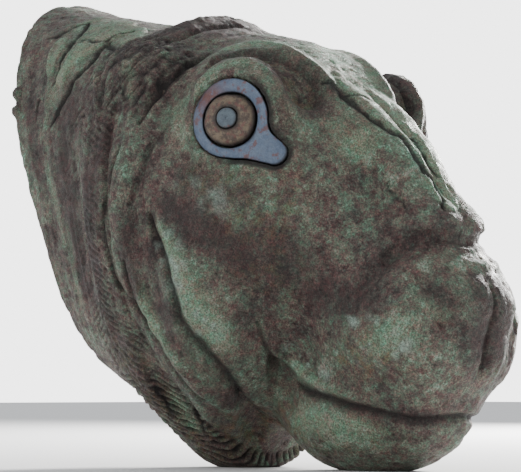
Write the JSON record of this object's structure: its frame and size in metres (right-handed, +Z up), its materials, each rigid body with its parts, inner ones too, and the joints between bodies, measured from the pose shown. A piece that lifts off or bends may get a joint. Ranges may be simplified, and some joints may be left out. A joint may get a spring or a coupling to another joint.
{
  "type": "lion head protome",
  "caption": "Hollow cast copper-alloy lion head with a hatched hair ruff, laid-back ears, an open neck and inlaid teardrop eyes, lying on its throat and chin.",
  "frame": {"origin": "middle of the underside of the box round the head, at the level of the surface it lies on", "axes": "+X the way the lion faces, +Y its left, +Z up"},
  "size_m": [0.3778, 0.2132, 0.3051],
  "materials": {
    "metal": "dark brown and grey-green corroded copper alloy with pale verdigris",
    "eye_white": "matt blue-grey stone or paste, stained brown in places",
    "eye_iris": "dull brown stone",
    "eye_pupil": "matt blue-grey stone"
  },
  "bodies": {
    "root": {"lion_head": "metal", "right_eye_white": "eye_white", "right_eye_iris": "eye_iris", "right_eye_pupil": "eye_pupil", "left_eye_white": "eye_white", "left_eye_iris": "eye_iris", "left_eye_pupil": "eye_pupil"}
  },
  "joints": []
}
